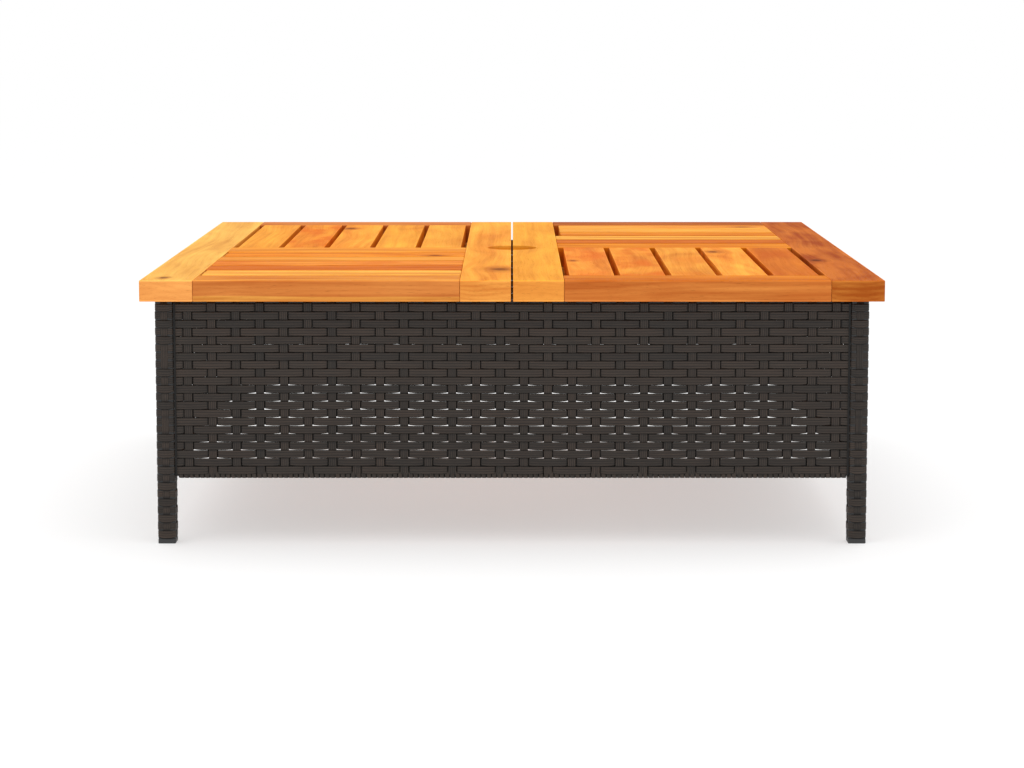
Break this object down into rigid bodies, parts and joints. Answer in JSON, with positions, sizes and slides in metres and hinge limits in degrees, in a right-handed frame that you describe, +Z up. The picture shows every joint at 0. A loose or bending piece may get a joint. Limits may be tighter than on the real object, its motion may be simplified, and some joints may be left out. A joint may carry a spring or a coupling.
{
  "type": "garden coffee table",
  "caption": "Low square garden coffee table: split slatted wooden top that lifts off around a parasol hole, on a woven rattan base with square legs.",
  "frame": {"origin": "on the floor, under the middle of the parasol hole and of the square top", "axes": "+Z up through the parasol hole, +X to the right along the front edge, +Y towards the back, so the front faces -Y"},
  "size_m": [1.05, 1.05, 0.38],
  "materials": {
    "wood_pale": "oiled acacia sapwood, straight pale grain, satin",
    "wood_amber": "oiled acacia, amber with brown streaks and knots, satin",
    "wood_russet": "oiled acacia heartwood, russet brown, satin",
    "poly_rattan": "flat ribbed extruded plastic strand, charcoal, satin",
    "powder_coated_steel": "black powder coat, fine texture",
    "foot_plastic": "moulded black plastic, matt"
  },
  "bodies": {
    "base": {"leg_tube_front_left": "powder_coated_steel", "foot_front_left": "foot_plastic", "leg_wrap_front_left": "poly_rattan", "leg_tube_front_right": "powder_coated_steel", "foot_front_right": "foot_plastic", "leg_wrap_front_right": "poly_rattan", "leg_tube_back_left": "powder_coated_steel", "foot_back_left": "foot_plastic", "leg_wrap_back_left": "poly_rattan", "leg_tube_back_right": "powder_coated_steel", "foot_back_right": "foot_plastic", "leg_wrap_back_right": "poly_rattan", "top_rail_front": "powder_coated_steel", "bottom_rail_front": "powder_coated_steel", "wicker_panel_front": "poly_rattan", "top_rail_back": "powder_coated_steel", "bottom_rail_back": "powder_coated_steel", "wicker_panel_back": "poly_rattan", "top_rail_left": "powder_coated_steel", "bottom_rail_left": "powder_coated_steel", "wicker_panel_left": "poly_rattan", "top_rail_right": "powder_coated_steel", "bottom_rail_right": "powder_coated_steel", "wicker_panel_right": "poly_rattan", "centre_bar_left": "powder_coated_steel", "centre_bar_right": "powder_coated_steel"},
    "top_left": {"left_outer_rail": "wood_pale", "left_centre_rail": "wood_pale", "left_front_board": "wood_russet", "left_back_board": "wood_amber", "left_middle_board": "wood_pale", "left_long_slat_1": "wood_amber", "left_long_slat_2": "wood_amber", "left_long_slat_3": "wood_amber", "left_long_slat_4": "wood_amber", "left_long_slat_5": "wood_amber", "left_short_slat_1": "wood_amber", "left_short_slat_2": "wood_amber", "left_short_slat_3": "wood_amber", "left_short_slat_4": "wood_amber", "left_short_slat_5": "wood_amber", "left_batten_middle": "wood_amber", "left_batten_end": "wood_amber"},
    "top_right": {"right_outer_rail": "wood_russet", "right_centre_rail": "wood_pale", "right_front_board": "wood_russet", "right_back_board": "wood_russet", "right_middle_board": "wood_russet", "right_long_slat_1": "wood_amber", "right_long_slat_2": "wood_amber", "right_long_slat_3": "wood_amber", "right_long_slat_4": "wood_amber", "right_long_slat_5": "wood_amber", "right_short_slat_1": "wood_amber", "right_short_slat_2": "wood_amber", "right_short_slat_3": "wood_amber", "right_short_slat_4": "wood_amber", "right_short_slat_5": "wood_amber", "right_batten_middle": "wood_amber", "right_batten_end": "wood_amber"}
  },
  "joints": [
    {"name": "top_left_lift", "type": "slide", "parent": "base", "child": "top_left", "axis": [0, 0, 1], "range_m": [0, 0.15]},
    {"name": "top_right_lift", "type": "slide", "parent": "base", "child": "top_right", "axis": [0, 0, 1], "range_m": [0, 0.15]}
  ]
}
